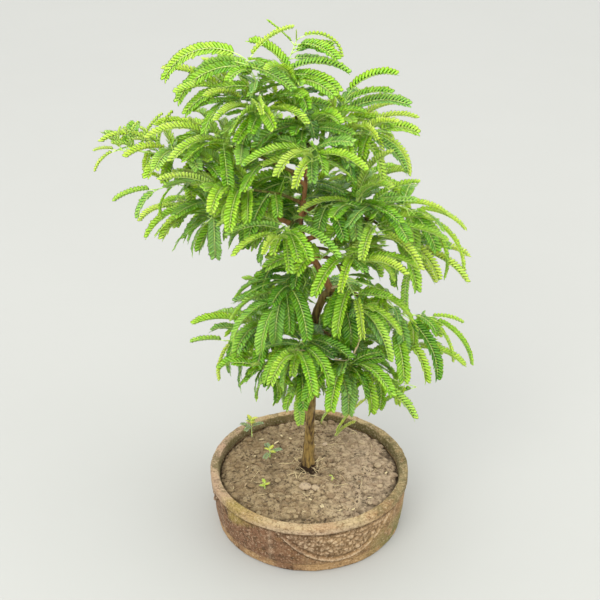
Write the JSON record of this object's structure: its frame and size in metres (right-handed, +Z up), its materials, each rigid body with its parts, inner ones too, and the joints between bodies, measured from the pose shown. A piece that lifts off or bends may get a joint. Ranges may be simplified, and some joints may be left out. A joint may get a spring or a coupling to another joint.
{
  "type": "potted tamarind tree",
  "caption": "Young tamarind tree with feathery pinnate leaves, standing in a low round clay pot with a swag ornament, for show on a floor or table.",
  "frame": {"origin": "middle of the pot's underside, on the surface that the pot stands on", "axes": "+Z up along the pot's axis; the pictured front faces -Y, and +X is to its right"},
  "size_m": [0.4992, 0.3737, 0.7417],
  "materials": {
    "clay": "weathered, matte",
    "soil": "dry, cloddy",
    "bark": "rough bark",
    "leaf_young": "soft leaf, a little sheen",
    "leaf_green": "leaf, a little sheen",
    "leaf_dark": "leaf, matte",
    "weed_leaf": "soft leaf"
  },
  "bodies": {
    "root": {"pot": "clay", "soil": "soil", "tree_wood": "bark", "weed_back": "weed_leaf", "weed_left": "weed_leaf", "weed_front": "weed_leaf", "weed_right": "weed_leaf", "spray_leader_end": "leaf_young", "spray_left_end": "leaf_young", "spray_left_low_end": "leaf_young", "spray_left_under_end": "leaf_green", "spray_left_top_end": "leaf_young", "spray_upper_left_end": "leaf_young", "spray_back_left_end": "leaf_green", "spray_upper_right_end": "leaf_young", "spray_right_end": "leaf_young", "spray_mid_right_end": "leaf_young", "spray_back_right_end": "leaf_green", "spray_side_end": "leaf_young", "spray_low_left_end": "leaf_young", "spray_low_right_end": "leaf_green", "spray_mid_left_end": "leaf_green", "spray_front_end": "leaf_young", "spray_front_low_end": "leaf_green", "spray_left_foot_end": "leaf_young", "spray_front_mid_end": "leaf_young", "spray_front_right_end": "leaf_young", "spray_left_mid_end": "leaf_young", "spray_front_up_end": "leaf_young", "spray_back_low_end": "leaf_green", "spray_back_mid_end": "leaf_green", "spray_trunk_2": "leaf_dark", "spray_leader_1": "leaf_young", "spray_leader_2": "leaf_young", "spray_leader_3": "leaf_young", "spray_leader_5": "leaf_young", "spray_upper_left_3": "leaf_young", "spray_back_left_1": "leaf_green", "spray_upper_right_2": "leaf_young", "spray_right_2": "leaf_young", "spray_right_3": "leaf_young", "spray_mid_right_1": "leaf_young", "spray_low_left_1": "leaf_green", "spray_low_right_2": "leaf_green", "spray_front_right_1": "leaf_young"}
  },
  "joints": []
}
